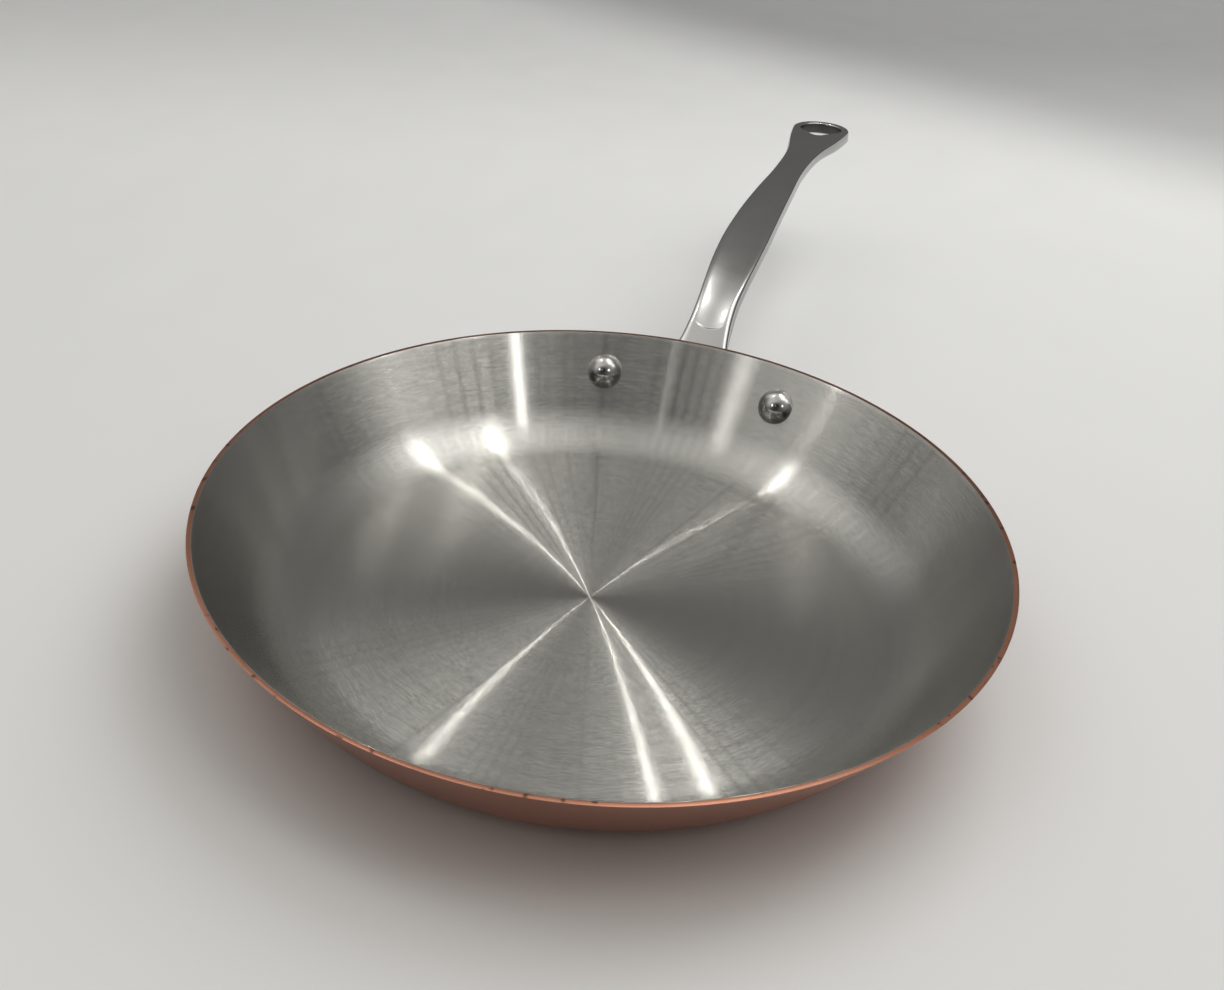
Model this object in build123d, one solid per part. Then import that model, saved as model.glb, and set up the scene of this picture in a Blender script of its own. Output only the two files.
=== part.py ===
"""Copper frying pan with a bonded stainless steel lining and a long cast stainless handle.

The pan is a spun shell: a flat base, a wide round bend and a straight flared wall that is
cut level at the rim.  Its thickness is one layer of copper with a thin steel skin bonded
inside.  The handle is one casting: a winged flange that hugs the outside of the wall, a
neck that climbs from the rim, a scooped grip with a narrow waist, and a flat end with a
rounded three-cornered eye to hang it by.  Two solid domed rivets hold it, heads inside.

Frame: millimetres, +Z up, origin at the centre of the underside of the base, handle
towards +Y.
"""
import os
from math import asin, cos, radians, sin, tan

from build123d import *

# Pan shell
rim_diameter = 260.0
pan_height = 37.0
shell_thickness = 1.5
lining_thickness = 0.2
bend_radius = 25.5
wall_flare_angle = 33.0

# Places along the handle, measured outwards from the rim
root_run = 6.0
neck_distance = 16.0
grip_distance = 60.0
crest_distance = 115.0
waist_distance = 146.0
taper_distance = 187.0
flare_distance = 214.0
eye_distance = 231.6

# Heights of the handle's top above the rim at those places
neck_rise = 8.7
grip_rise = 21.6
crest_rise = 24.6
waist_rise = 24.0
taper_rise = 21.7
flare_rise = 20.1
eye_rise = 19.2

# Widths of the handle at those places
root_width = 24.0
neck_width = 16.0
grip_width = 19.6
crest_width = 16.4
waist_width = 13.8
taper_width = 16.8
flare_width = 25.2
eye_width = 29.0

# Thicknesses of the handle, and the bevel along its four edges
neck_thickness = 5.6
grip_thickness = 4.8
eye_thickness = 5.8
edge_bevel = 0.9

# Heel that braces the neck against the wall
heel_drop = 15.0
heel_reach = 20.0

# Scoop in the top of the grip: place along it, width and depth of each section as shares
scoop_start = 3.5
scoop_length = 88.0
scoop_width = 15.6
scoop_depth = 1.3
scoop_shares = (
    (0.0, 0.30, 0.2),
    (0.06, 0.72, 0.9),
    (0.35, 0.92, 1.0),
    (0.7, 1.0, 0.6),
    (1.0, 0.55, 0.06),
)

# Eye: a round far side that narrows to a small round tip towards the pan
eye_hole_width = 20.8
eye_tip_radius = 3.5
eye_tip_offset = 10.3

# Flange behind the wall
flange_thickness = 4.2
boss_diameter = 20.0
web_top_drop = 2.0
web_drop = 17.0

# Rivets
rivet_spread_angle = 33.4
rivet_drop = 13.5
rivet_head_diameter = 14.0
rivet_dome_height = 5.0
shank_diameter = 6.4
shank_clearance = 0.1
peened_diameter = 9.6
peened_depth = 1.6

# How far cutting shapes run past what they cut
overrun = 12.0

# Worked out from the sizes above
rim_radius = rim_diameter / 2
copper_thickness = shell_thickness - lining_thickness
flare = radians(wall_flare_angle)
bend_angle = radians(90) - flare
base_radius = rim_radius - pan_height * tan(flare) - bend_radius * tan(bend_angle / 2)
rivet_radius = rim_radius - rivet_drop * tan(flare)
rivet_turn = radians(rivet_spread_angle / 2)
eye_centre = rim_radius + eye_distance


def wall_face(inset, top):
    """Half section of all that lies inside the surface set in by inset from the outside."""
    bend = bend_radius - inset
    foot = (base_radius, inset)
    knee = (base_radius + bend * sin(bend_angle), bend_radius - bend * cos(bend_angle))
    lip = (knee[0] + (top - knee[1]) * tan(flare), top)
    with BuildSketch(Plane.XZ) as section:
        with BuildLine():
            Line((0, inset), foot)
            TangentArc(foot, knee, tangent=(1, 0))
            Polyline(knee, lip, (0, top), (0, inset))
        make_face()
    return section.sketch


def spun(sketch):
    """The half section turned once round the pan's axis."""
    return revolve(sketch, Axis.Z)


def rivet_plane(side):
    """Plane on the outside of the wall at one rivet, its Z pointing out of the wall."""
    turn = rivet_turn * side
    return Plane(
        origin=(rivet_radius * sin(turn), rivet_radius * cos(turn), pan_height - rivet_drop),
        x_dir=(cos(turn), -sin(turn), 0),
        z_dir=(cos(flare) * sin(turn), cos(flare) * cos(turn), -sin(flare)),
    )


def upright(radius, low, high, top_radius=None):
    """Cylinder or cone on the Z axis between two heights."""
    low_end = (Align.CENTER, Align.CENTER, Align.MIN)
    if top_radius is None:
        return Pos(0, 0, low) * Cylinder(radius, high - low, align=low_end)
    return Pos(0, 0, low) * Cone(radius, top_radius, high - low, align=low_end)


def rivet_hole(side):
    """Clear hole for a rivet through the wall and the flange, countersunk outside."""
    radius = shank_diameter / 2 + shank_clearance
    bore = upright(radius, -overrun, overrun)
    sink = upright(radius, flange_thickness - peened_depth, flange_thickness,
                   peened_diameter / 2 + shank_clearance)
    return rivet_plane(side).location * (bore + sink)


def make_rivet(side, cavity):
    """Solid rivet: a high dome that seats inside the pan, a shank and a peened end."""
    head_radius = rivet_head_diameter / 2
    ball_radius = (head_radius ** 2 + rivet_dome_height ** 2) / (2 * rivet_dome_height)
    crown = -shell_thickness - rivet_dome_height
    ball = Pos(0, 0, crown + ball_radius) * Sphere(ball_radius)
    dome = ball & upright(head_radius, crown, 0)
    head = (rivet_plane(side).location * dome) & cavity
    shank = upright(shank_diameter / 2, crown + rivet_dome_height / 2, flange_thickness)
    peened = upright(shank_diameter / 2, flange_thickness - peened_depth, flange_thickness,
                     peened_diameter / 2)
    return head + rivet_plane(side).location * (shank + peened)


def arm_section(far, rise, width, thickness):
    """Bevelled bar section of the handle, upright, at one place along its length."""
    half = width / 2
    corners = [
        (half - edge_bevel, 0), (half, edge_bevel),
        (half, thickness - edge_bevel), (half - edge_bevel, thickness),
    ]
    outline = corners + [(-x, y) for x, y in reversed(corners)]
    origin = (0, rim_radius + far, pan_height + rise)
    with BuildSketch(Plane(origin=origin, x_dir=(1, 0, 0), z_dir=(0, 1, 0))) as section:
        Polygon(*outline, align=None)
    return section.sketch


def eye_end():
    """Round end of the handle: its section at the eye turned half round the eye's axis."""
    half = eye_width / 2
    top = pan_height + eye_rise
    low = top - eye_thickness
    with BuildSketch(Plane.XZ) as section:
        Polygon(
            (0, low), (half - edge_bevel, low), (half, low + edge_bevel),
            (half, top - edge_bevel), (half - edge_bevel, top), (0, top), align=None)
    return Pos(0, eye_centre, 0) * revolve(section.sketch, Axis.Z, 180)


def eye_hole():
    """Rounded three-cornered hole: a circle drawn to a small round tip by tangents."""
    radius = eye_hole_width / 2
    lean = asin((radius - eye_tip_radius) / eye_tip_offset)
    tip = eye_centre - eye_tip_offset
    wide = (radius * cos(lean), eye_centre - radius * sin(lean))
    close = (eye_tip_radius * cos(lean), tip - eye_tip_radius * sin(lean))
    with BuildSketch() as hole:
        with BuildLine():
            ThreePointArc(wide, (0, eye_centre + radius), (-wide[0], wide[1]))
            Line((-wide[0], wide[1]), (-close[0], close[1]))
            ThreePointArc((-close[0], close[1]), (0, tip - eye_tip_radius), close)
            Line(close, wide)
        make_face()
    return extrude(hole.sketch, pan_height + crest_rise + overrun)


def scoop(arm):
    """Spoon-like hollow in the top of the grip, lofted through shallow arched sections."""
    sections = []
    for place_share, width_share, depth_share in scoop_shares:
        far = rim_radius + scoop_start + scoop_length * place_share
        probe = Line((0, far, 0), (0, far, pan_height + crest_rise + overrun))
        top = (arm & probe).bounding_box().max.Z
        half = scoop_width * width_share / 2
        depth = scoop_depth * depth_share
        with BuildSketch(Plane(origin=(0, far, top), x_dir=(1, 0, 0), z_dir=(0, 1, 0))) as section:
            with BuildLine():
                ThreePointArc((-half, 0), (0, depth), (half, 0))
                Polyline((half, 0), (half, -overrun), (-half, -overrun), (-half, 0))
            make_face()
        sections.append(section.sketch)
    return loft(sections)


def handle_arm():
    """Neck, grip and taper, lofted through the sections, with the round end."""
    places = (
        (-root_run, -root_run, root_width, neck_thickness),
        (neck_distance, neck_rise, neck_width, neck_thickness),
        (grip_distance, grip_rise, grip_width, grip_thickness),
        (crest_distance, crest_rise, crest_width, grip_thickness),
        (waist_distance, waist_rise, waist_width, grip_thickness),
        (taper_distance, taper_rise, taper_width, grip_thickness),
        (flare_distance, flare_rise, flare_width, eye_thickness),
        (eye_distance, eye_rise, eye_width, eye_thickness),
    )
    return loft([arm_section(*place) for place in places]) + eye_end()


def heel():
    """Web under the neck that carries it down the flange."""
    foot = (
        rim_radius - heel_drop * tan(flare) + flange_thickness / 2,
        pan_height - heel_drop,
    )
    neck_under = (rim_radius + heel_reach, pan_height + neck_rise - neck_thickness / 2)
    with BuildSketch(Plane.YZ.offset(-neck_width / 2 + edge_bevel)) as web:
        with BuildLine():
            Spline(neck_under, foot, tangents=[(-1, -1), (-sin(flare), -cos(flare))])
            Polyline(foot, (foot[0] - overrun, foot[1]), (rim_radius, pan_height), neck_under)
        make_face()
    return extrude(web.sketch, neck_width - 2 * edge_bevel)


def flange(outside):
    """Wings that hug the wall from the neck to the two rivets, with a boss at each."""
    boss = rivet_plane(1).origin
    boss_half = boss_diameter / 4
    top = (root_width / 2, pan_height - web_top_drop)
    low = (0, pan_height - web_drop)
    with BuildSketch(Plane.XZ) as wing:
        with BuildLine() as half:
            Line((0, top[1]), top)
            Spline(top, (boss.X, boss.Z + boss_half), tangents=[(1, -1), (1, 0)])
            Line((boss.X, boss.Z + boss_half), (boss.X, boss.Z - boss_half))
            Spline((boss.X, boss.Z - boss_half), low, tangents=[(-1, 0), (-1, 0)])
            mirror(half.line, Plane.YZ)
        make_face()
    layer = spun(wall_face(-flange_thickness, pan_height)) - outside
    wings = layer & extrude(wing.sketch, -rim_radius - overrun)
    bosses = [
        rivet_plane(side).location * upright(boss_diameter / 2, -overrun, flange_thickness)
        for side in (-1, 1)]
    return wings + bosses


def make_handle(outside):
    """The whole casting, its flange seated on the wall and bored for the rivets."""
    arm = handle_arm()
    blank = arm - scoop(arm) + heel() + flange(outside)
    cuts = [outside, eye_hole(), rivet_hole(-1), rivet_hole(1)]
    return blank - cuts


def make_shell(outer_inset, inner_inset):
    """One bonded layer of the pan, bored for the rivets."""
    layer = spun(wall_face(outer_inset, pan_height) - wall_face(inner_inset, pan_height))
    return layer - [rivet_hole(-1), rivet_hole(1)]


def main():
    outside = spun(wall_face(0, pan_height + overrun))
    cavity = spun(wall_face(shell_thickness, pan_height + overrun))
    parts = {
        "copper_body": make_shell(0, copper_thickness),
        "steel_lining": make_shell(copper_thickness, shell_thickness),
        "handle": make_handle(outside),
        "rivet_left": make_rivet(-1, cavity),
        "rivet_right": make_rivet(1, cavity),
    }
    os.makedirs("parts", exist_ok=True)
    for name, part in parts.items():
        export_step(part, f"parts/{name}.step")


main()
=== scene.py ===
"""Copper frying pan: shell, bonded lining, cast handle and rivets, with a small studio."""
from math import acos, atan2, ceil, cos, pi, radians, sin, sqrt, tan

import bmesh
import bpy
from bpy.props import FloatProperty, FloatVectorProperty, IntProperty, PointerProperty
from mathutils import Matrix, Vector


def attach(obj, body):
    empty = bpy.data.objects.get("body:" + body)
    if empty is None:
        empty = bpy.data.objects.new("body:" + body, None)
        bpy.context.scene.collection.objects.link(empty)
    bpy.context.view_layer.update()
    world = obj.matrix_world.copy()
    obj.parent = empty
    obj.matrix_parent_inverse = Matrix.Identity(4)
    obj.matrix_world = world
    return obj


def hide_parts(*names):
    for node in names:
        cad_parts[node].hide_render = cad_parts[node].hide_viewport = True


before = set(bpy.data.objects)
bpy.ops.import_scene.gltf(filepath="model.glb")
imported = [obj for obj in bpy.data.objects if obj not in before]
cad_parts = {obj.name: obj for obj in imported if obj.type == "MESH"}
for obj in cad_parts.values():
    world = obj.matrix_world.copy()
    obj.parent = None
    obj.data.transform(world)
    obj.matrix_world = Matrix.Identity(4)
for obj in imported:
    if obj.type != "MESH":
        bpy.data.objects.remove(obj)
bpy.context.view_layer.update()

bl_info = {
    "name": "Copper frying pan",
    "version": (1, 0, 0),
    "blender": (4, 5, 0),
    "location": "3D View > Sidebar > Frying pan",
    "description": "Builds a copper frying pan with a brushed steel lining and a cast handle",
    "category": "Object",
}


def size(name, description, default):
    """A length that the user can change, in metres."""
    return FloatProperty(
        name=name, description=description, default=default, unit="LENGTH",
        subtype="DISTANCE", precision=4)


def share(name, description, default):
    """A plain factor from 0 to 1."""
    return FloatProperty(name=name, description=description, default=default, min=0, max=1)


def tint(name, description, default):
    """A linear colour."""
    return FloatVectorProperty(
        name=name, description=description, default=default, size=3, subtype="COLOR",
        min=0, max=1)


def turn(name, description, degrees):
    """An angle, given in degrees and kept in radians."""
    return FloatProperty(
        name=name, description=description, default=radians(degrees), unit="ROTATION",
        subtype="ANGLE")


class ShellSizes(bpy.types.PropertyGroup):
    """Sizes of the spun pan."""
    rim_diameter: size("Rim diameter", "Across the outside of the rim", 0.260)
    height: size("Height", "From the base to the level rim", 0.037)
    wall: size("Wall", "Copper and lining together", 0.0015)
    lining: size("Lining", "The bonded steel skin alone", 0.0002)
    bend: size("Bend radius", "Outside radius between base and wall", 0.0255)
    flare: turn("Flare", "Lean of the wall from upright", 33)
    rim_easing: size("Rim easing", "Small round on the cut edge of the rim", 0.00025)
    steps: IntProperty(
        name="Steps round", description="Faces in one turn of the shell", default=288,
        min=32, max=720)


class HandleSizes(bpy.types.PropertyGroup):
    """Sizes of the cast handle."""
    scoop_start: size("Scoop start", "From the rim to the near lip of the scoop", 0.0070)
    scoop_length: size("Scoop length", "From its near lip to where it dies out", 0.0845)
    scoop_depth: size("Scoop depth", "Deepest part of the scoop", 0.0008)
    lip_sag: size("Lip sag", "How far the near lip bows towards the pan", 0.0020)
    eye_hole: size("Eye hole", "Width of the eye's round side", 0.0208)
    eye_tip: size("Eye tip", "Radius of the eye's narrow side", 0.0035)
    eye_offset: size("Eye offset", "From the eye's middle to its narrow side", 0.0103)
    eye_round: size("Eye round", "Small round on the upper edge of the eye", 0.0007)
    edge: size("Edge round", "Round on the long edges of the grip", 0.0010)
    neck_edge: size("Neck round", "What the neck's edges have more than the grip's", 0.0011)
    lean: size("Flank lean", "How far the flanks lean out to the underside", 0.0004)
    flange: size("Flange", "Thickness of the wings behind the wall", 0.0042)
    flange_edge: size("Flange edge", "Bevel on the edges of the wings", 0.0012)
    boss: size("Boss", "Diameter of the ends of the wings", 0.020)


class RivetSizes(bpy.types.PropertyGroup):
    """Sizes of the two rivets."""
    spread: turn("Spread", "Angle between the rivets round the pan", 33.4)
    drop: size("Drop", "From the rim down to a rivet", 0.0135)
    head: size("Head", "Diameter of the domed head", 0.014)
    dome: size("Dome", "Height of the domed head", 0.005)
    head_edge: size("Head edge", "Small round where the head meets the wall", 0.0003)
    shank: size("Shank", "Diameter through the wall", 0.0064)
    peened: size("Peened end", "Diameter of the flattened end outside", 0.0096)


class Finishes(bpy.types.PropertyGroup):
    """Colours and gloss of the metals and of the table."""
    copper: tint("Copper", "Satin copper outside", (0.56, 0.265, 0.18))
    lining: tint("Lining", "Brushed steel inside", (0.56, 0.555, 0.53))
    casting: tint("Casting", "Polished steel of the handle", (0.60, 0.60, 0.59))
    rivet: tint("Rivet", "Polished steel of the rivets", (0.56, 0.555, 0.54))
    table: tint("Table", "Pale surface under the pan", (0.80, 0.803, 0.80))
    lining_gloss: share("Lining roughness", "Across the brush marks", 0.17)
    casting_gloss: share("Casting roughness", "Softness of its reflections", 0.13)
    rivet_gloss: share("Rivet roughness", "Softness of its reflections", 0.07)


# Meshes: distances that points are merged within, folds that stay sharp or are bevelled, steps
# of round shapes, and points of the shell's section along its floor and its wall
WELD, FLANGE_WELD, SAME_PLACE, NEAR_AXIS = 1e-6, 1e-5, 1e-9, 1e-5
SHARP_FOLD, HANDLE_FOLD, BEVELLED_FOLD = radians(40), radians(35), radians(50)
BEND_STEPS, DOME_STEPS, RIVET_STEPS = 20, 20, 64
FLOOR_SHARES = (0, 0.03, 0.1, 0.3, 0.6, 0.85, 0.96, 0.99)
WALL_SHARES = (0.05, 0.3, 0.65, 0.95, 1.0)


def ease(low, high, at):
    """Smooth step from 0 to 1."""
    s = min(max((at - low) / (high - low), 0.0), 1.0)
    return s * s * (3 - 2 * s)


def shell_profile(shell, inset):
    """Half section of one face of the wall, from the axis to the rim, as radius and height."""
    angle = pi / 2 - shell.flare
    foot = shell.rim_diameter / 2 - shell.height * tan(shell.flare) - shell.bend * tan(angle / 2)
    bend = shell.bend - inset
    points = [(foot * part, inset) for part in FLOOR_SHARES]
    for i in range(BEND_STEPS + 1):
        a = angle * i / BEND_STEPS
        points.append((foot + bend * sin(a), shell.bend - bend * cos(a)))
    knee = points[-1]
    lip = (knee[0] + (shell.height - knee[1]) * tan(shell.flare), shell.height)
    points += [
        (knee[0] + (lip[0] - knee[0]) * part, knee[1] + (lip[1] - knee[1]) * part)
        for part in WALL_SHARES]
    return points


def eased_corner(before, corner, after, radius):
    """Three points that round a corner of a profile."""
    corner = Vector(corner)
    first = corner + (Vector(before) - corner).normalized() * radius
    last = corner + (Vector(after) - corner).normalized() * radius
    return [tuple(first), tuple(corner * 0.5 + (first + last) * 0.25), tuple(last)]


def spin_profile(points, steps):
    """A closed shell: a profile from the axis back to the axis, spun once round."""
    bm = bmesh.new()
    verts = [bm.verts.new((radius, 0, height)) for radius, height in points]
    edges = [bm.edges.new(pair) for pair in zip(verts, verts[1:])]
    bmesh.ops.spin(
        bm, geom=verts + edges, cent=(0, 0, 0), axis=(0, 0, 1), angle=2 * pi,
        steps=steps, use_merge=True, use_duplicate=False)
    bmesh.ops.remove_doubles(bm, verts=bm.verts, dist=WELD)
    bmesh.ops.recalc_face_normals(bm, faces=bm.faces)
    return bm


def lay_turning_map(bm):
    """UV map with U round the axis and V outwards and up, for grooves that run round."""
    layer = bm.loops.layers.uv.new("turning")
    for face in bm.faces:
        middle = face.calc_center_median()
        centre = atan2(middle.y, middle.x)
        for loop in face.loops:
            co = loop.vert.co
            radius = sqrt(co.x ** 2 + co.y ** 2)
            delta = 0.0
            if radius > NEAR_AXIS:
                delta = (atan2(co.y, co.x) - centre + pi) % (2 * pi) - pi
            loop[layer].uv = ((centre + delta) / (2 * pi), radius + co.z)


def extrude_all(bm):
    """Extrudes a whole sheet, keeps the sheet as one side, and returns the new vertices."""
    made = bmesh.ops.extrude_face_region(
        bm, geom=bm.verts[:] + bm.edges[:] + bm.faces[:], use_keep_orig=True)["geom"]
    return {item for item in made if isinstance(item, bmesh.types.BMVert)}


def add_piece(name, bm, material, nodes, sharp=SHARP_FOLD):
    """Turns a bmesh into a named piece that rides on the pan."""
    mesh = bpy.data.meshes.new(name)
    bm.to_mesh(mesh)
    bm.free()
    mesh.shade_smooth()
    mesh.set_sharp_from_angle(angle=sharp)
    mesh.materials.append(material)
    piece = bpy.data.objects.new(name, mesh)
    bpy.context.scene.collection.objects.link(piece)
    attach(piece, "root")
    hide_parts(*nodes)
    return piece


IN_MILLIMETRES = 1000.0


class Tree:
    """Short ways to write a node tree."""

    def __init__(self, tree):
        self.tree = tree

    def add(self, kind, inputs=None, **settings):
        node = self.tree.nodes.new(kind)
        for key, value in settings.items():
            setattr(node, key, value)
        for key, value in (inputs or {}).items():
            if isinstance(value, bpy.types.NodeSocket):
                self.tree.links.new(value, node.inputs[key])
            else:
                node.inputs[key].default_value = value
        return node

    def math(self, operation, first, second):
        return self.add("ShaderNodeMath", {0: first, 1: second}, operation=operation).outputs[0]

    def vector(self, operation, inputs, output="Vector"):
        return self.add("ShaderNodeVectorMath", inputs, operation=operation).outputs[output]

    def weighed(self, *pairs):
        """Sum of values, each times its own weight."""
        parts = [self.math("MULTIPLY", value, weight) for value, weight in pairs]
        total = parts[0]
        for part in parts[1:]:
            total = self.math("ADD", total, part)
        return total

    def mixed(self, factor, first, second):
        """Blend of two colours, each a socket or a plain colour."""
        first, second = [
            side if isinstance(side, bpy.types.NodeSocket) else (*side, 1)
            for side in (first, second)]
        return self.add(
            "ShaderNodeMix", {0: factor, 6: first, 7: second}, data_type="RGBA").outputs[2]


class Surface(Tree):
    """A material and the patterns that feed its shader."""

    def __init__(self, name):
        self.material = bpy.data.materials.new(name)
        self.material.use_nodes = True
        super().__init__(self.material.node_tree)
        self.shader = self.tree.nodes["Principled BSDF"]

    def plug(self, socket, name):
        self.tree.links.new(socket, self.shader.inputs[name])

    def settle(self, values):
        """Numbers that are the same all over the surface."""
        for name, value in values.items():
            self.shader.inputs[name].default_value = value

    def noise(self, vector, scale, detail=3.0, rough=0.5):
        return self.add("ShaderNodeTexNoise", {
            "Vector": vector, "Scale": scale, "Detail": detail, "Roughness": rough,
        }).outputs["Fac"]

    def spread(self, value, low, high, start=0.3, end=0.7):
        """The value, from its usual range to low and high."""
        return self.add("ShaderNodeMapRange", {
            "Value": value, "From Min": start, "From Max": end, "To Min": low, "To Max": high,
        }).outputs["Result"]

    def smooth(self, value, start, end):
        """Soft step from 0 to 1."""
        return self.add("ShaderNodeMapRange", {
            "Value": value, "From Min": start, "From Max": end},
            interpolation_type="SMOOTHSTEP").outputs["Result"]

    def bump(self, height, strength, distance):
        self.plug(self.add("ShaderNodeBump", {
            "Height": height, "Strength": strength, "Distance": distance}).outputs[0], "Normal")

    def object_position(self):
        return self.add("ShaderNodeTexCoord").outputs["Object"]

    def turning_position(self, stretch):
        """Place on the brush marks: slow round the axis, and in millimetres outwards and up."""
        apart = self.add("ShaderNodeSeparateXYZ", {0: self.object_position()}).outputs
        flat = self.add("ShaderNodeCombineXYZ", {0: apart[0], 1: apart[1]}).outputs[0]
        radius = self.vector("LENGTH", {0: flat}, "Value")
        ring = self.vector("NORMALIZE", {0: flat})
        slow = self.vector("SCALE", {0: ring, "Scale": stretch})
        out = self.math("MULTIPLY", self.math("ADD", radius, apart[2]), IN_MILLIMETRES)
        rise = self.add("ShaderNodeCombineXYZ", {2: out}).outputs[0]
        return self.vector("ADD", {0: slow, 1: rise})


BLACK = (0.0, 0.0, 0.0)
# Brush marks: how slowly they change round the axis, how many to the millimetre, how steep
# their sides are, and how steep those of the coarser grain are
BRUSH_STRETCH, HAIR_SCALE, HAIR_SLOPE, GRAIN_SLOPE = 0.15, 160.0, 0.85, 0.03
# Nicks in the cut rim: how far under it they begin, and from where they are at their darkest
NICKS_FROM, NICKS_FULL = 0.0007, 0.0004
# Metals: how dark their darkest patches are, as a share of their colour
LINING_PATCH, COPPER_PATCH, COPPER_NICK, STEEL_PATCH = 0.95, 0.72, 0.30, 0.93
# Roughness: what the lining and the steel vary by, and the range of the copper and table
LINING_VARIES, STEEL_SMOOTHER, STEEL_ROUGHER = 0.02, 0.02, 0.03
COPPER_ROUGHNESS, TABLE_ROUGHNESS = (0.27, 0.38), (0.5, 0.62)
# Steel of the handle and the rivets: how much hand polishing has left it wavy
CASTING_WAVES, RIVET_WAVES, WAVE_DEPTH = 0.20, 0.15, 0.0002
# Parts of the handle inside the eye and on its flanks, rougher than the rest and darkened with
# painted shade: name, share of the casting's colour as painted shade, roughness, waves
SHADED_HANDLE_SKINS = (("eye_wall_painted_shade", 0.18, 0.45, 0.5), ("flank_painted_shade", 0.62, 0.22, 0.3))


def darker(colour, factor):
    return tuple(part * factor for part in colour)


def brushed_lining(colour, roughness):
    """Stainless steel brushed in circles, so that each lamp draws a spoke of light."""
    skin = Surface("brushed_lining")
    fine = skin.noise(skin.turning_position(BRUSH_STRETCH), scale=2.6, detail=1.5, rough=0.6)
    broad = skin.noise(skin.turning_position(1.0), scale=0.35, detail=2.0)
    grain = skin.weighed((fine, 0.6), (broad, 0.4))
    tone = skin.mixed(skin.spread(grain, 0, 1), darker(colour, LINING_PATCH), colour)
    skin.plug(tone, "Base Color")
    skin.plug(skin.spread(grain, roughness - LINING_VARIES, roughness + LINING_VARIES), "Roughness")
    hair = skin.noise(skin.turning_position(BRUSH_STRETCH), HAIR_SCALE, detail=0.0)
    slope = skin.weighed(
        (skin.math("SUBTRACT", hair, 0.5), HAIR_SLOPE),
        (skin.math("SUBTRACT", fine, 0.5), GRAIN_SLOPE))
    tilt = skin.add("ShaderNodeCombineColor", {
        0: 0.5, 1: skin.math("ADD", slope, 0.5), 2: 1.0}).outputs[0]
    grooves = skin.add("ShaderNodeNormalMap", {"Color": tilt}, uv_map="turning")
    skin.plug(grooves.outputs[0], "Normal")
    skin.settle({"Metallic": 1.0, "Anisotropic": 1.0, "Anisotropic Rotation": 0.25})
    tangent = skin.add("ShaderNodeTangent", direction_type="UV_MAP", uv_map="turning")
    skin.plug(tangent.outputs[0], "Tangent")
    return skin.material


def satin_copper(colour, rim_height):
    """Lightly polished copper, a little darker in patches, with nicks on the cut rim."""
    skin = Surface("satin_copper")
    place = skin.object_position()
    patches = skin.noise(place, scale=18.0)
    lines = skin.noise(skin.turning_position(2.0), scale=1.6, rough=0.6)
    tone = skin.weighed((patches, 0.6), (lines, 0.4))
    body = skin.mixed(skin.spread(tone, 0, 1), darker(colour, COPPER_PATCH), colour)
    height = skin.add("ShaderNodeSeparateXYZ", {0: place}).outputs[2]
    at_rim = skin.spread(height, 0, 1, rim_height - NICKS_FROM, rim_height - NICKS_FULL)
    chips = skin.spread(skin.noise(place, scale=260.0, detail=2.0), 0, 1, start=0.60, end=0.68)
    nicks = skin.math("MULTIPLY", at_rim, chips)
    skin.plug(skin.mixed(nicks, body, darker(colour, COPPER_NICK)), "Base Color")
    skin.plug(skin.spread(tone, *COPPER_ROUGHNESS), "Roughness")
    skin.bump(lines, strength=0.12, distance=0.00005)
    skin.settle({"Metallic": 1.0})
    return skin.material


def polished_steel(name, colour, roughness, waves):
    """Polished casting with faint smudges and the soft waves that hand polishing leaves."""
    skin = Surface(name)
    place = skin.object_position()
    smudge = skin.noise(place, scale=55.0, detail=4.0)
    tone = skin.mixed(skin.spread(smudge, 0, 1), darker(colour, STEEL_PATCH), colour)
    skin.plug(tone, "Base Color")
    skin.plug(
        skin.spread(smudge, roughness - STEEL_SMOOTHER, roughness + STEEL_ROUGHER), "Roughness")
    skin.bump(skin.noise(place, scale=120.0, detail=2.0), waves, WAVE_DEPTH)
    skin.settle({"Metallic": 1.0})
    return skin.material


class COPPERPAN_OT_shell(bpy.types.Operator):
    """Spin the copper body with its level-cut rim"""
    bl_idname = "copperpan.shell"
    bl_label = "Copper body"

    def execute(self, context):
        shell = context.scene.shell_sizes
        outer = shell_profile(shell, 0)
        inner = shell_profile(shell, shell.wall - shell.lining)
        corner = eased_corner(outer[-2], outer[-1], inner[-1], shell.rim_easing)
        bm = spin_profile(outer[:-1] + corner + inner[::-1], shell.steps)
        lay_turning_map(bm)
        material = satin_copper(context.scene.finishes.copper, shell.height)
        add_piece("copper_shell", bm, material, ["copper_body"])
        return {"FINISHED"}


class COPPERPAN_OT_lining(bpy.types.Operator):
    """Spin the thin steel skin bonded inside the copper"""
    bl_idname = "copperpan.lining"
    bl_label = "Steel lining"

    def execute(self, context):
        shell, finishes = context.scene.shell_sizes, context.scene.finishes
        outer = shell_profile(shell, shell.wall - shell.lining)
        inner = shell_profile(shell, shell.wall)
        corner = eased_corner(outer[-1], inner[-1], inner[-2], shell.rim_easing / 3)
        bm = spin_profile(outer + corner + inner[-2::-1], shell.steps)
        lay_turning_map(bm)
        material = brushed_lining(finishes.lining, finishes.lining_gloss)
        add_piece("brushed_steel_lining", bm, material, ["steel_lining"])
        return {"FINISHED"}


# Rivet: length of the shank that the lining grips, length that the peened end swells over,
# and the peened end's own outline as shares of its radius with heights over the flange
SHANK_GRIP, SWELL = 0.0002, 0.0016
PEENED_END = ((1.0, -0.0001), (0.9, 0.0002), (0.5, 0.0004), (0.0, 0.0005))


def rivet_radius(shell, rivets):
    """From the axis of the pan to the outside of the wall at the rivets."""
    return shell.rim_diameter / 2 - rivets.drop * tan(shell.flare)


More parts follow.
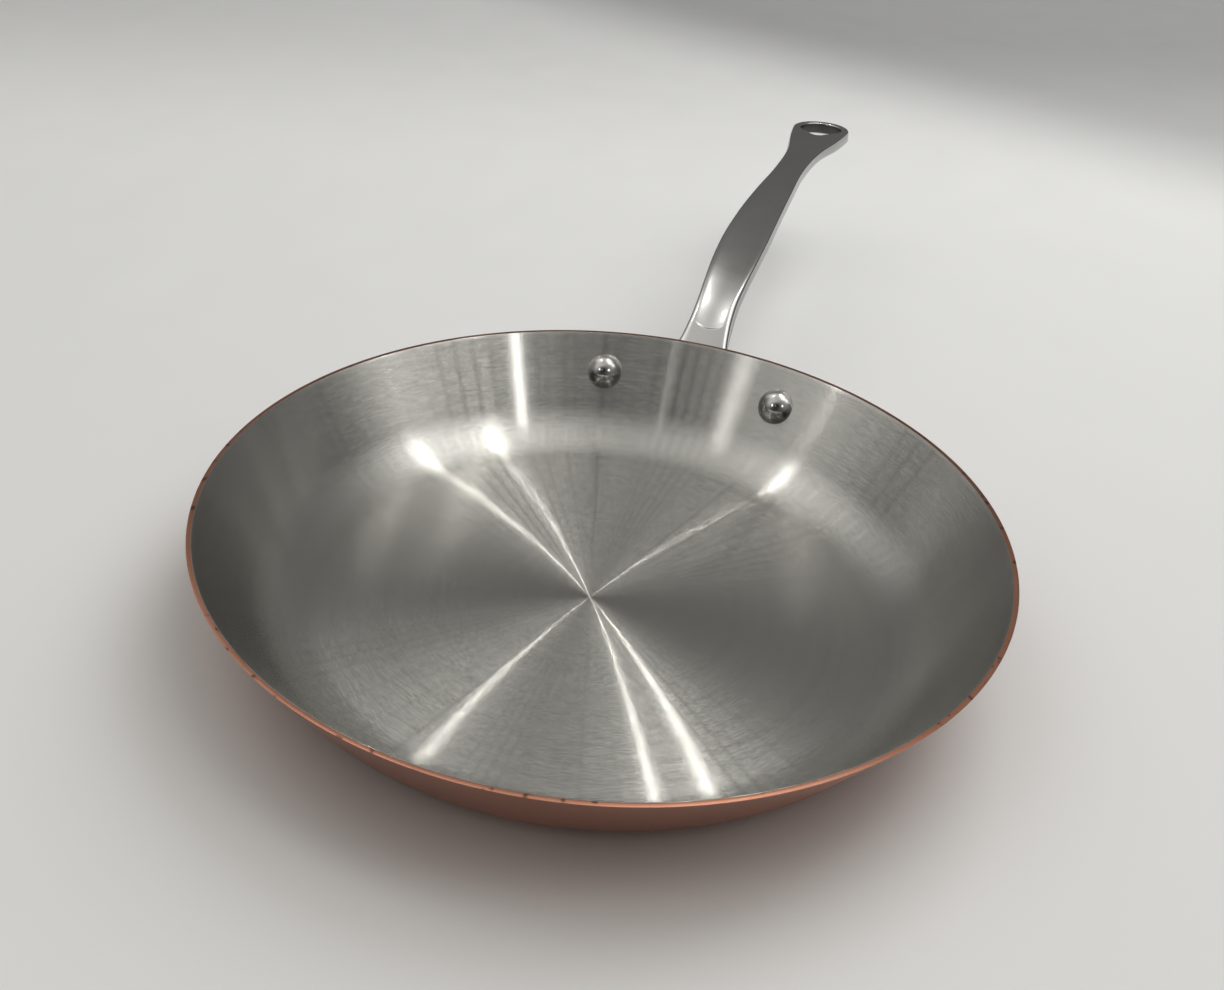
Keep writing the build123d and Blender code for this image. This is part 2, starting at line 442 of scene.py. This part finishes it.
def rivet_frame(shell, rivets, side):
    """Matrix of a rivet's place on the outside of the wall, its Z pointing out of the wall."""
    azimuth, radius = side * rivets.spread / 2, rivet_radius(shell, rivets)
    level, fall = cos(shell.flare), -sin(shell.flare)
    out = Vector((level * sin(azimuth), level * cos(azimuth), fall))
    across = Vector((cos(azimuth), -sin(azimuth), 0))
    place = Vector((radius * sin(azimuth), radius * cos(azimuth), shell.height - rivets.drop))
    turned = Matrix((across, out.cross(across), out)).transposed().to_4x4()
    return Matrix.Translation(place) @ turned


def rivet_profile(shell, rivets, flange):
    """Half section of a rivet, from the top of its dome to the middle of its peened end."""
    ball = ((rivets.head / 2) ** 2 + rivets.dome ** 2) / (2 * rivets.dome)
    angles = [acos(1 - rivets.dome / ball) * i / DOME_STEPS for i in range(DOME_STEPS)]
    crown = -shell.wall - rivets.dome
    arc = [(ball * sin(a), crown + ball * (1 - cos(a))) for a in angles]
    core = rivets.shank / 2
    rim = eased_corner(
        arc[-1], (rivets.head / 2, -shell.wall), (core, -shell.wall), rivets.head_edge)
    shank = [(core, -shell.wall + SHANK_GRIP), (core, flange - SWELL)]
    end = [(rivets.peened / 2 * part, flange + over) for part, over in PEENED_END]
    return arc + rim + shank + end


class COPPERPAN_OT_rivets(bpy.types.Operator):
    """Spin the two solid rivets, domed inside and peened outside"""
    bl_idname = "copperpan.rivets"
    bl_label = "Rivets"

    def execute(self, context):
        shell, rivets = context.scene.shell_sizes, context.scene.rivet_sizes
        finishes = context.scene.finishes
        profile = rivet_profile(shell, rivets, context.scene.handle_sizes.flange)
        material = polished_steel(
            "polished_rivet", finishes.rivet, finishes.rivet_gloss, RIVET_WAVES)
        for side, node in ((-1, "rivet_left"), (1, "rivet_right")):
            bm = spin_profile(profile, RIVET_STEPS)
            bmesh.ops.transform(bm, matrix=rivet_frame(shell, rivets, side), verts=bm.verts)
            bmesh.ops.recalc_face_normals(bm, faces=bm.faces)
            add_piece("domed_" + node, bm, material, [node])
        return {"FINISHED"}


# Handle stations: distance from the rim, rise of its top above the rim, width, thickness
STATIONS = (
    (-0.0060, -0.0060, 0.0270, 0.0056),
    (0.0000, -0.0016, 0.0216, 0.0056),
    (0.0040, 0.0012, 0.0186, 0.0056),
    (0.0085, 0.0043, 0.0173, 0.0056),
    (0.0160, 0.0087, 0.0166, 0.0056),
    (0.0300, 0.0144, 0.0175, 0.0052),
    (0.0450, 0.0185, 0.0189, 0.0049),
    (0.0600, 0.0213, 0.0196, 0.0048),
    (0.0850, 0.0239, 0.0186, 0.0048),
    (0.1150, 0.0246, 0.0164, 0.0048),
    (0.1460, 0.0240, 0.0138, 0.0048),
    (0.1870, 0.0217, 0.0168, 0.0048),
    (0.2140, 0.0201, 0.0248, 0.0058),
    (0.2316, 0.0192, 0.0284, 0.0058),
    (0.2480, 0.0183, 0.0284, 0.0058),
)
RISE_COLUMN, WIDTH_COLUMN, THICKNESS_COLUMN = 1, 2, 3

# Scoop, by the share of its length: half width, and share of its full depth
SCOOP_WIDTHS = ((0.0, 0.0060), (0.35, 0.0070), (0.7, 0.0074), (1.0, 0.0045), (1.3, 0.0045))
SCOOP_DEPTHS = ((0.0, 0.0), (0.0083, 0.46), (0.05, 0.8), (0.30, 1.0), (0.7, 0.6), (1.0, 0.0))
# Most of the flat top that the scoop takes, and where the bow of its lip has died out
SCOOP_REACH, LIP_END = 0.92, 0.045

# Neck: where it meets the wall, where its wide rounds start to narrow and end, where its rows
# stop following the round of the rim, and how far its foot is pressed to the wall
NECK_START, NECK_FADE, ROUND_END, FOOT_PRESS = -0.0023, (0.006, 0.045), 0.012, 0.0004
# Heel: distances and heights that its curve is drawn by, and how much wider it is at the wall;
# and the half width from which a flank leans in full
HEEL = ((-0.0114, -0.0170), (0.0000, -0.0125), (0.0075, -0.0050), (0.0200, 0.0046))
HEEL_SPREAD, LEAN_WIDTH = 0.2, 0.004

# Eye: its middle from the rim, and the radius of the outline round it. Towards the pan that
# outline is found by halving a range of distances. Last, the turn that a curve's direction is
# measured over
EYE_MIDDLE, TIP_RADIUS = 0.2316, 0.0142
OUTLINE_SEARCH, HALVINGS, NUDGE = (0.005, 0.05), 40, 0.01

# Grid of the arm's top: columns, rows at the neck and the lip, then even ones up to the eye
COLUMNS = 18
SCOOP_COLUMNS = 1 - 2 / COLUMNS
NECK_ROWS = (
    NECK_START, -0.001, 0.0003, 0.0016, 0.003, 0.0045, 0.0058, 0.0066, 0.007, 0.00735, 0.0077,
    0.0082, 0.0092, 0.0106, 0.0125)
GRID_END, ROW_STEP = 0.2085, 0.0028
# Steps round the tip and along the eye, steps of the two rounds, and rings round the eye
TIP_STEPS, EYE_STEPS, EDGE_ROUNDS, EYE_ROUNDS = 60, 32, 5, 4
RING_SHARES = (0.35, 0.7, 1.0)


def smooth_through(table, at, column=1):
    """Value of a smooth curve through the rows of a table, by its first column."""
    rows = [(row[0], row[column]) for row in table]
    if at <= rows[0][0]:
        return rows[0][1]
    if at >= rows[-1][0]:
        return rows[-1][1]
    slopes = [(b[1] - a[1]) / (b[0] - a[0]) for a, b in zip(rows, rows[1:])]
    k = max(i for i in range(len(rows) - 1) if rows[i][0] <= at)
    span = rows[k + 1][0] - rows[k][0]

    def lean(i):
        if i in (0, len(rows) - 1):
            return slopes[min(i, len(slopes) - 1)]
        before, after = rows[i][0] - rows[i - 1][0], rows[i + 1][0] - rows[i][0]
        return (slopes[i - 1] * after + slopes[i] * before) / (before + after)

    s = (at - rows[k][0]) / span
    low, high, m0, m1 = rows[k][1], rows[k + 1][1], lean(k) * span, lean(k + 1) * span
    return (low * (1 + 2 * s) * (1 - s) ** 2 + m0 * s * (1 - s) ** 2
            + high * s * s * (3 - 2 * s) + m1 * s * s * (s - 1))


def straight_through(table, at):
    """Value of straight runs through the rows of a table."""
    for (a, low), (b, high) in zip(table, table[1:]):
        if at <= b:
            return low + (high - low) * max(at - a, 0) / (b - a)
    return table[-1][1]


def half_width(far):
    return smooth_through(STATIONS, far, WIDTH_COLUMN) / 2


def rise(far):
    return smooth_through(STATIONS, far, RISE_COLUMN)


def thickness(far):
    return smooth_through(STATIONS, far, THICKNESS_COLUMN)


def rounding(handle, far):
    """Radius of the arm's long edges: generous at the neck, small further out."""
    return handle.edge + handle.neck_edge * (1 - ease(*NECK_FADE, far))


def rim_sag(shell, x):
    """How much the round of the rim falls back at a distance from the middle of the neck."""
    return x * x / shell.rim_diameter


def arm_top(shell, handle, far, across):
    """Point on the flat top of the arm, from the distance and the column from -1 to 1."""
    part = (far - handle.scoop_start) / handle.scoop_length
    half = half_width(far) - rounding(handle, far)
    edge = min(smooth_through(SCOOP_WIDTHS, part), half * SCOOP_REACH)
    x = edge * across / SCOOP_COLUMNS
    if abs(across) > (1 + SCOOP_COLUMNS) / 2:
        x = half if across > 0 else -half
    bow = handle.lip_sag * (x / edge) ** 2 * ease(0, handle.scoop_start, far)
    bow *= 1 - ease(handle.scoop_start, LIP_END, far)
    y = far + bow - rim_sag(shell, x) * (1 - ease(0, ROUND_END, far))
    depth = handle.scoop_depth * straight_through(SCOOP_DEPTHS, part) if part > 0 else 0.0
    dip = depth * max(1 - (x / edge) ** 2, 0.0)
    return Vector((x, y, rise(y) - dip))


def arm_under(shell, handle, far, place, drop):
    """Point under the arm: the heel against the wall at the pan, flat further out."""
    x = place.x + handle.lean * max(min(place.x / LEAN_WIDTH, 1), -1)
    reach = HEEL[-1][0]
    if far >= reach:
        return Vector((x, place.y, rise(far) - thickness(far) + drop))
    q = (far - NECK_START) / (reach - NECK_START)
    weights = ((1 - q) ** 3, 3 * q * (1 - q) ** 2, 3 * q * q * (1 - q), q ** 3)
    low = [sum(w * p[i] for w, p in zip(weights, HEEL)) for i in (0, 1)]
    x *= 1 + HEEL_SPREAD * (1 - q) ** 2
    return Vector((x, low[0] - rim_sag(shell, x) * (1 - q), low[1] + drop * q))


def eye_edge(handle, angle):
    """Distance from the eye's middle to the edge of the hole, by angle from straight out."""
    u = Vector((sin(angle), cos(angle)))
    best = 0.0
    for i in range(EYE_STEPS + 1):
        part = i / EYE_STEPS
        centre = Vector((0, -handle.eye_offset * part))
        radius = handle.eye_hole / 2 + (handle.eye_tip - handle.eye_hole / 2) * part
        along = u.dot(centre)
        under = along * along - centre.length_squared + radius * radius
        if under >= 0:
            best = max(best, along + sqrt(under))
    return best


def outline_edge(angle):
    """Distance from the eye's middle to the outline of the handle, by the same angle."""
    if cos(angle) >= 0:
        return TIP_RADIUS
    low, high = OUTLINE_SEARCH
    for _ in range(HALVINGS):
        far = (low + high) / 2
        if far * abs(sin(angle)) > half_width(EYE_MIDDLE + far * cos(angle)):
            high = far
        else:
            low = far
    return low


def polar_point(reach, angle, inset):
    """Point on a curve round the eye's middle, moved inwards or outwards along its normal."""
    def at(a):
        return Vector((sin(a), cos(a))) * reach(a)
    along = (at(angle + NUDGE) - at(angle - NUDGE)).normalized()
    place = at(angle) + Vector((along.y, -along.x)) * inset
    return Vector((place.x, EYE_MIDDLE + place.y, 0))


def loop_edges(bm, loop):
    return [
        bm.edges.get((a, b)) or bm.edges.new((a, b)) for a, b in zip(loop, loop[1:] + loop[:1])]


def extrude_ring(bm, ring, edges, places):
    """Extrudes a loop of edges and moves each new vertex to its place."""
    made = bmesh.ops.extrude_edge_only(bm, edges=edges)["geom"]
    fresh = {item for item in made if isinstance(item, bmesh.types.BMVert)}
    twins = []
    for vert in ring:
        twins.append(next(
            other for edge in vert.link_edges for other in [edge.other_vert(vert)]
            if other in fresh and (other.co - vert.co).length < SAME_PLACE))
    for twin, place in zip(twins, places):
        twin.co = place
    return twins, loop_edges(bm, twins)


def arm_rows():
    """Distances of the arm's rows, closer together at the neck and the lip of the scoop."""
    first = NECK_ROWS[-1]
    count = ceil((GRID_END - first) / ROW_STEP)
    even = [first + (GRID_END - first) * (i + 1) / count for i in range(count)]
    return [*NECK_ROWS, *even]


class Casting:
    """The handle's mesh, grown from its flat top. Keeps the distance of each vertex from the
    rim, and how far it has dropped at a round."""

    def __init__(self, shell, handle):
        self.shell, self.handle = shell, handle
        self.bm = bmesh.new()
        self.under = self.bm.verts.layers.float_vector.new("under")
        self.far_of, self.drop_of = {}, {}
        self.lay_grip()
        self.draw_tip()
        self.open_eye()
        self.round_eye()
        self.round_outline()
        self.add_underside()

    def lay_grip(self):
        """Grid for the top from the pan to the eye, with the scoop pressed in."""
        rows, grid = arm_rows(), {}
        end = len(rows) - 1
        bmesh.ops.create_grid(self.bm, x_segments=COLUMNS, y_segments=end, size=1)
        for vert in self.bm.verts:
            row = round((vert.co.y + 1) / 2 * end)
            column = round((vert.co.x + 1) / 2 * COLUMNS)
            self.far_of[vert], grid[row, column] = rows[row], vert
            vert.co = arm_top(self.shell, self.handle, rows[row], vert.co.x)
        self.left = [grid[row, 0] for row in range(end + 1)]
        self.right = [grid[row, COLUMNS] for row in range(end, -1, -1)]
        self.foot = [grid[0, column] for column in range(COLUMNS - 1, 0, -1)]
        self.last = [grid[end, column] for column in range(COLUMNS, -1, -1)]

    def draw_tip(self):
        """Outline round the eye, from the left corner of the grid to the right one."""
        corner = self.last[0].co
        start = atan2(corner.x, corner.y - EYE_MIDDLE)
        angles = [-start + 2 * start * i / TIP_STEPS for i in range(1, TIP_STEPS)]
        self.tip = []
        for angle in angles:
            place = polar_point(outline_edge, angle, self.handle.edge)
            place.z = rise(place.y)
            self.tip.append(self.bm.verts.new(place))
            self.far_of[self.tip[-1]] = place.y

    def beside_eye(self, place, inset):
        """Point beside the edge of the eye, in the direction of a place."""
        angle = atan2(place.x, place.y - EYE_MIDDLE)
        return polar_point(lambda a: eye_edge(self.handle, a), angle, inset)

    def open_eye(self):
        """Flat rings from the outline to the eye."""
        loop = self.last + self.tip
        ends = [self.beside_eye(vert.co, -self.handle.eye_round) for vert in loop]
        self.ring, self.eye_edges = loop, loop_edges(self.bm, loop)
        for part in RING_SHARES:
            places = [vert.co.lerp(end, part) for vert, end in zip(loop, ends)]
            for place in places:
                place.z = rise(place.y)
            self.ring, self.eye_edges = extrude_ring(self.bm, self.ring, self.eye_edges, places)
            for vert in self.ring:
                self.far_of[vert] = vert.co.y

    def round_eye(self):
        """Small round over the edge of the eye."""
        base, radius = [vert.co.copy() for vert in self.ring], self.handle.eye_round
        for i in range(1, EYE_ROUNDS + 1):
            a = pi / 2 * i / EYE_ROUNDS
            drop = radius * (1 - cos(a))
            places = [self.beside_eye(co, -radius * (1 - sin(a))) for co in base]
            for place, co in zip(places, base):
                place.z = co.z - drop
            self.ring, self.eye_edges = extrude_ring(self.bm, self.ring, self.eye_edges, places)
            for vert, co in zip(self.ring, base):
                self.far_of[vert], self.drop_of[vert] = co.y, drop

    def way_out(self, loop, k, radius):
        """How far a vertex of the outline moves sideways over the whole of its round."""
        vert = loop[k]
        if vert in self.foot:
            return Vector((0, -FOOT_PRESS, 0))
        if self.far_of[vert] == NECK_START:
            return Vector((radius if vert.co.x > 0 else -radius, -FOOT_PRESS, 0))
        along = loop[(k + 1) % len(loop)].co - loop[k - 1].co
        return Vector((-along.y, along.x, 0)).normalized() * radius

    def round_outline(self):
        """Rounds over the long edges, the tip and the foot."""
        loop = self.left + self.tip + self.right + self.foot
        radii = [rounding(self.handle, self.far_of[vert]) for vert in loop]
        outs = [self.way_out(loop, k, radius) for k, radius in enumerate(radii)]
        base = [vert.co.copy() for vert in loop]
        ring, edges = loop, loop_edges(self.bm, loop)
        for i in range(1, EDGE_ROUNDS + 1):
            a = pi / 2 * i / EDGE_ROUNDS
            drops = [radius * (1 - cos(a)) for radius in radii]
            places = [
                co + out * sin(a) - Vector((0, 0, drop))
                for co, out, drop in zip(base, outs, drops)]
            ring, edges = extrude_ring(self.bm, ring, edges, places)
            for vert, source, drop in zip(ring, loop, drops):
                self.far_of[vert], self.drop_of[vert] = self.far_of[source], drop
        self.flank_edges = edges

    def add_underside(self):
        """Second sheet under the first; the walls between them take the darker materials of painted
        shade.
        """
        for vert in self.bm.verts:
            drop = self.drop_of.get(vert, 0.0)
            vert[self.under] = arm_under(self.shell, self.handle, self.far_of[vert], vert.co, drop)
        for vert in extrude_all(self.bm):
            vert.co = vert[self.under]
        bmesh.ops.recalc_face_normals(self.bm, faces=self.bm.faces)
        for skin, edges in enumerate((self.eye_edges, self.flank_edges), 1):
            for edge in edges:
                wall = max(edge.link_faces, key=lambda face: face.calc_area())
                wall.material_index = skin


class COPPERPAN_OT_handle(bpy.types.Operator):
    """Model the cast handle: heel, scooped grip and three-cornered eye"""
    bl_idname = "copperpan.handle"
    bl_label = "Handle"

    def execute(self, context):
        shell, handle = context.scene.shell_sizes, context.scene.handle_sizes
        finishes = context.scene.finishes
        bm = Casting(shell, handle).bm
        bmesh.ops.translate(bm, verts=bm.verts, vec=(0, shell.rim_diameter / 2, shell.height))
        material = polished_steel(
            "polished_casting", finishes.casting, finishes.casting_gloss, CASTING_WAVES)
        piece = add_piece(
            "cast_handle", bm, material, ["handle"], HANDLE_FOLD)
        # the eye's wall and the flanks: copies of the casting, darkened with painted shade and
        # rougher
        for name, tone, roughness, waves in SHADED_HANDLE_SKINS:
            piece.data.materials.append(
                polished_steel(name, darker(finishes.casting, tone), roughness, waves))
        return {"FINISHED"}


# Wings of the flange: how far under the rim and under the rivets they end, and how their edges
# draw in towards the bosses
WING_GAP, WING_DROP = 0.002, 0.0035
WING_TOP, WING_TOP_FADE = 0.005, (0.010, 0.030)
WING_SAG, WING_SAG_FADE = 0.0015, (0, 0.02)
# Its grid, how far it is pressed into the wall, and the steps of its bevel
FLANGE_COLUMNS, FLANGE_ROWS, FLANGE_PRESS, BEVEL_STEPS = 80, 12, 0.0003, 4


def flange_outline(shell, handle, rivets, along):
    """Upper and lower edge of the flange up the wall, at a distance from its middle."""
    away, boss, span = abs(along), handle.boss / 2, rivet_radius(shell, rivets) * rivets.spread / 2
    disc = sqrt(max(boss ** 2 - (away - span) ** 2, 0))
    if away >= span:
        return disc, -disc
    top, low = (rivets.drop - WING_GAP) / cos(shell.flare), -WING_DROP / cos(shell.flare)
    upper = top + (WING_TOP - top) * ease(*WING_TOP_FADE, away)
    lower = low - WING_SAG * ease(*WING_SAG_FADE, away)
    return max(upper, disc), min(lower, -disc)


def on_wall(shell, rivets, along, slant, out):
    """Point by the wall: round it and up it from between the rivets, and out of it."""
    radius = rivet_radius(shell, rivets)
    far = radius + slant * sin(shell.flare) + out * cos(shell.flare)
    height = shell.height - rivets.drop + slant * cos(shell.flare) - out * sin(shell.flare)
    return Vector((far * sin(along / radius), far * cos(along / radius), height))


class COPPERPAN_OT_flange(bpy.types.Operator):
    """Model the wings that hug the wall behind the rivets"""
    bl_idname = "copperpan.flange"
    bl_label = "Flange"

    def execute(self, context):
        shell, handle = context.scene.shell_sizes, context.scene.handle_sizes
        rivets = context.scene.rivet_sizes
        reach = rivet_radius(shell, rivets) * rivets.spread / 2 + handle.boss / 2
        bm = bmesh.new()
        bmesh.ops.create_grid(bm, x_segments=FLANGE_COLUMNS, y_segments=FLANGE_ROWS, size=1)
        flat = bm.verts.layers.float_vector.new("flat")
        for vert in bm.verts:
            along = reach * sin(vert.co.x * pi / 2)
            upper, lower = flange_outline(shell, handle, rivets, along)
            vert[flat] = Vector((along, lower + (upper - lower) * (vert.co.y + 1) / 2, 0))
        raised = extrude_all(bm)
        for vert in bm.verts:
            along, slant, _ = vert[flat]
            out = handle.flange if vert in raised else -FLANGE_PRESS
            vert.co = on_wall(shell, rivets, along, slant, out)
        bm.verts.layers.float_vector.remove(bm.verts.layers.float_vector["flat"])
        bmesh.ops.remove_doubles(bm, verts=bm.verts, dist=FLANGE_WELD)
        bmesh.ops.recalc_face_normals(bm, faces=bm.faces)
        weight = bm.edges.layers.float.new("bevel_weight_edge")
        for edge in bm.edges:
            if len(edge.link_faces) == 2 and edge.calc_face_angle() > BEVELLED_FOLD:
                edge[weight] = 1.0
        material = bpy.data.materials["polished_casting"]
        piece = add_piece("handle_flange", bm, material, ["handle"])
        bevel = piece.modifiers.new("edge_round", "BEVEL")
        bevel.width, bevel.segments, bevel.limit_method = handle.flange_edge, BEVEL_STEPS, "WEIGHT"
        return {"FINISHED"}


# Photographer's view, in metres: where it stands, what it looks at, the azimuth of its
# right-hand side and its roll, the lens and the sensor in millimetres, and its shift
CAMERA_PLACE = (0.1006, -0.3496, 0.2772)
CAMERA_TARGET = (-0.0510, 0.0359, 0.0015)
CAMERA_AZIMUTH, CAMERA_ROLL = 21.47, radians(1.64)
CAMERA_LENS, SENSOR = 39.706, 36.0
CAMERA_SHIFT = (0.0993, 0.0109)

WARM, PALE, NEUTRAL = (1.0, 0.98, 0.93), (1.0, 0.99, 0.96), (1.0, 1.0, 0.995)
# Narrow lamps that only the metals show, where they draw the spokes of light in the lining:
# name, distance, elevation, azimuth from +X, azimuth of the long side, width, length, power,
# colour
LAMPS = (
    ("ceiling_near", 1.5, 61, 78, -46, 0.02, 0.14, 0.50, WARM),
    ("ceiling_far", 1.5, 69, 80, -60, 0.02, 0.18, 0.48, WARM),
    ("ceiling_side", 1.5, 63, 152, -108, 0.02, 0.20, 0.46, WARM),
    ("behind_right", 1.5, 38, 319, -56, 0.045, 0.30, 1.00, PALE),
    ("behind_middle", 1.5, 38, 264, -86, 0.03, 0.20, 0.08, PALE),
    ("behind_left", 1.5, 35, 240, -100, 0.12, 0.30, 0.62, PALE),
)
# Broad light on the table, which the metals don't show, with the same values
SOFTBOX = ("softbox", 1.6, 44, 68, -22, 1.1, 1.1, 10.4, NEUTRAL)

# Soft lights of the room: azimuth from +X, elevation, sharpness, strength
GLOWS = (
    (85, 66, 40.0, 0.25),
    (46, 70, 24.0, 1.70),
    (160, 58, 24.0, 1.20),
    (155, 32, 60.0, 0.45),
    (222, 32, 14.0, 0.35),
    (335, 42, 10.0, 0.20),
    (250, 62, 14.0, 0.55),
    (205, 44, 16.0, 0.30),
    (10, 46, 60.0, 1.60),
    (8, 66, 60.0, 1.20),
)
# Dark parts of the room: azimuth from +X, elevation, sharpness, how dark
SHADES = (
    (272, 38, 12.0, 0.92),
    (262, 8, 6.0, 0.50),
)
# Plain light of the room by height, from the table's level to straight up; its warmth; and
# what the camera sees past the table
ROOM_LEVELS = ((0.0, 0.12), (0.25, 0.14), (0.45, 0.18), (0.62, 0.20), (0.80, 0.22), (1.0, 0.30))
ROOM_WARMTH = (1.0, 0.985, 0.945)
BACKDROP = (0.62, 0.62, 0.61)

# Table: half its width, parts along it, and the painted shade that darkens it towards the far
# corners as a slant, the distance where that starts and ends, and how much is lost
TABLE_HALF, TABLE_PARTS = 4.0, 8
TABLE_DIMS = ((-0.3, 0.40, 0.85, 0.28), (0.45, 0.56, 0.76, 0.34))


def direction(elevation, azimuth):
    e, a = radians(elevation), radians(azimuth)
    return Vector((cos(e) * cos(a), cos(e) * sin(a), sin(e)))


def add_camera():
    place, target = Vector(CAMERA_PLACE), Vector(CAMERA_TARGET)
    ahead = (target - place).normalized()
    right = direction(0, CAMERA_AZIMUTH)
    up = right.cross(ahead)
    leaned = right * cos(CAMERA_ROLL) + up * sin(CAMERA_ROLL)
    data = bpy.data.cameras.new("photo_camera")
    data.lens, data.sensor_width = CAMERA_LENS, SENSOR
    data.shift_x, data.shift_y = CAMERA_SHIFT
    camera = bpy.data.objects.new("photo_camera", data)
    axes = Matrix((leaned, leaned.cross(ahead), -ahead)).transposed().to_4x4()
    camera.matrix_world = Matrix.Translation(place) @ axes
    bpy.context.scene.collection.objects.link(camera)
    bpy.context.scene.camera = camera


def add_lamp(name, distance, elevation, azimuth, lie, width, length, power, colour):
    """A lamp that faces the middle of the pan's base, turned to the lie of its long side."""
    data = bpy.data.lights.new(name, "AREA")
    data.shape, data.size, data.size_y = "RECTANGLE", width, length
    data.energy, data.color = power, colour
    lamp = bpy.data.objects.new(name, data)
    out = direction(elevation, azimuth)
    side = direction(0, lie).cross(out).normalized()
    turned = Matrix((side, out.cross(side), out)).transposed().to_4x4()
    lamp.matrix_world = Matrix.Translation(out * distance) @ turned
    bpy.context.scene.collection.objects.link(lamp)
    return lamp


def room_level(tree, place):
    """Plain light of the room by height."""
    height = tree.add("ShaderNodeSeparateXYZ", {0: place}).outputs[2]
    ramp = tree.add("ShaderNodeValToRGB", {0: height})
    elements = ramp.color_ramp.elements
    for position, _ in ROOM_LEVELS[1:-1]:
        elements.new(position)
    for element, (position, level) in zip(elements, ROOM_LEVELS):
        element.position, element.color = position, (level, level, level, 1)
    return ramp.outputs[0]


def soft_spot(tree, place, azimuth, elevation, sharpness, strength):
    """Soft spot in one direction of the room, with its strength in the middle."""
    towards = tree.vector(
        "DOT_PRODUCT", {0: place, 1: direction(elevation, azimuth)}, "Value")
    spot = tree.math("POWER", tree.math("MAXIMUM", towards, 0.0), sharpness)
    return tree.math("MULTIPLY", spot, strength)


def light_room():
    """World: a dim room with soft lights and dark parts, and a plain backdrop."""
    world = bpy.data.worlds.new("room")
    bpy.context.scene.world = world
    world.use_nodes = True
    world.node_tree.nodes.clear()
    tree = Tree(world.node_tree)
    place = tree.add("ShaderNodeTexCoord").outputs["Generated"]
    light = room_level(tree, place)
    for glow in GLOWS:
        light = tree.math("ADD", light, soft_spot(tree, place, *glow))
    for shade in SHADES:
        left = tree.math("SUBTRACT", 1.0, soft_spot(tree, place, *shade))
        light = tree.math("MULTIPLY", light, left)
    warm = tree.add("ShaderNodeCombineColor", {
        i: tree.math("MULTIPLY", light, part) for i, part in enumerate(ROOM_WARMTH)}).outputs[0]
    seen = tree.add("ShaderNodeLightPath").outputs["Is Camera Ray"]
    background = tree.add("ShaderNodeBackground", {"Color": tree.mixed(seen, warm, BACKDROP)})
    tree.add("ShaderNodeOutputWorld", {0: background.outputs[0]})


def add_table(colour):
    """Pale matt surface, with painted shade towards the far corners."""
    bm = bmesh.new()
    bmesh.ops.create_grid(
        bm, x_segments=TABLE_PARTS, y_segments=TABLE_PARTS, size=TABLE_HALF)
    mesh = bpy.data.meshes.new("table_top")
    bm.to_mesh(mesh)
    bm.free()
    skin = Surface("pale_table")
    place = skin.object_position()
    x, y, _ = skin.add("ShaderNodeSeparateXYZ", {0: place}).outputs
    # painted shade: the colour goes towards black near the far corners
    painted_shade = skin.weighed(*[
        (skin.smooth(skin.weighed((y, 1.0), (x, slant)), start, end), lost)
        for slant, start, end, lost in TABLE_DIMS])
    skin.plug(skin.mixed(painted_shade, colour, BLACK), "Base Color")
    skin.plug(skin.spread(skin.noise(place, scale=30.0), *TABLE_ROUGHNESS), "Roughness")
    skin.bump(skin.noise(place, scale=500.0), strength=0.05, distance=0.0003)
    mesh.materials.append(skin.material)
    table = bpy.data.objects.new("table_top", mesh)
    bpy.context.scene.collection.objects.link(table)


class COPPERPAN_OT_stage(bpy.types.Operator):
    """Set the table, the lamps, the room and the photographer's view"""
    bl_idname = "copperpan.stage"
    bl_label = "Studio"

    def execute(self, context):
        add_camera()
        add_table(context.scene.finishes.table)
        for lamp in LAMPS:
            add_lamp(*lamp).visible_diffuse = False
        add_lamp(*SOFTBOX).visible_glossy = False
        light_room()
        context.scene.view_settings.view_transform = "Standard"
        return {"FINISHED"}


class COPPERPAN_PT_sidebar(bpy.types.Panel):
    """Sizes, finishes and one button for each piece"""
    bl_idname = "COPPERPAN_PT_sidebar"
    bl_label = "Copper frying pan"
    bl_space_type = "VIEW_3D"
    bl_region_type = "UI"
    bl_category = "Frying pan"

    def draw(self, context):
        for group in SETTINGS:
            box = self.layout.box()
            for name in SETTINGS[group].__annotations__:
                box.prop(getattr(context.scene, group), name)
        for step in STEPS:
            self.layout.operator("copperpan." + step)


SETTINGS = {
    "shell_sizes": ShellSizes,
    "handle_sizes": HandleSizes,
    "rivet_sizes": RivetSizes,
    "finishes": Finishes,
}
STEPS = ("stage", "shell", "lining", "handle", "flange", "rivets")
CLASSES = (
    *SETTINGS.values(), COPPERPAN_OT_shell, COPPERPAN_OT_lining, COPPERPAN_OT_rivets,
    COPPERPAN_OT_handle, COPPERPAN_OT_flange, COPPERPAN_OT_stage, COPPERPAN_PT_sidebar)


def register():
    for item in CLASSES:
        bpy.utils.register_class(item)
    for name, group in SETTINGS.items():
        setattr(bpy.types.Scene, name, PointerProperty(type=group))


def unregister():
    for name in SETTINGS:
        delattr(bpy.types.Scene, name)
    for item in reversed(CLASSES):
        bpy.utils.unregister_class(item)


def main():
    register()
    for step in STEPS:
        getattr(bpy.ops.copperpan, step)()


if __name__ == "__main__":
    main()
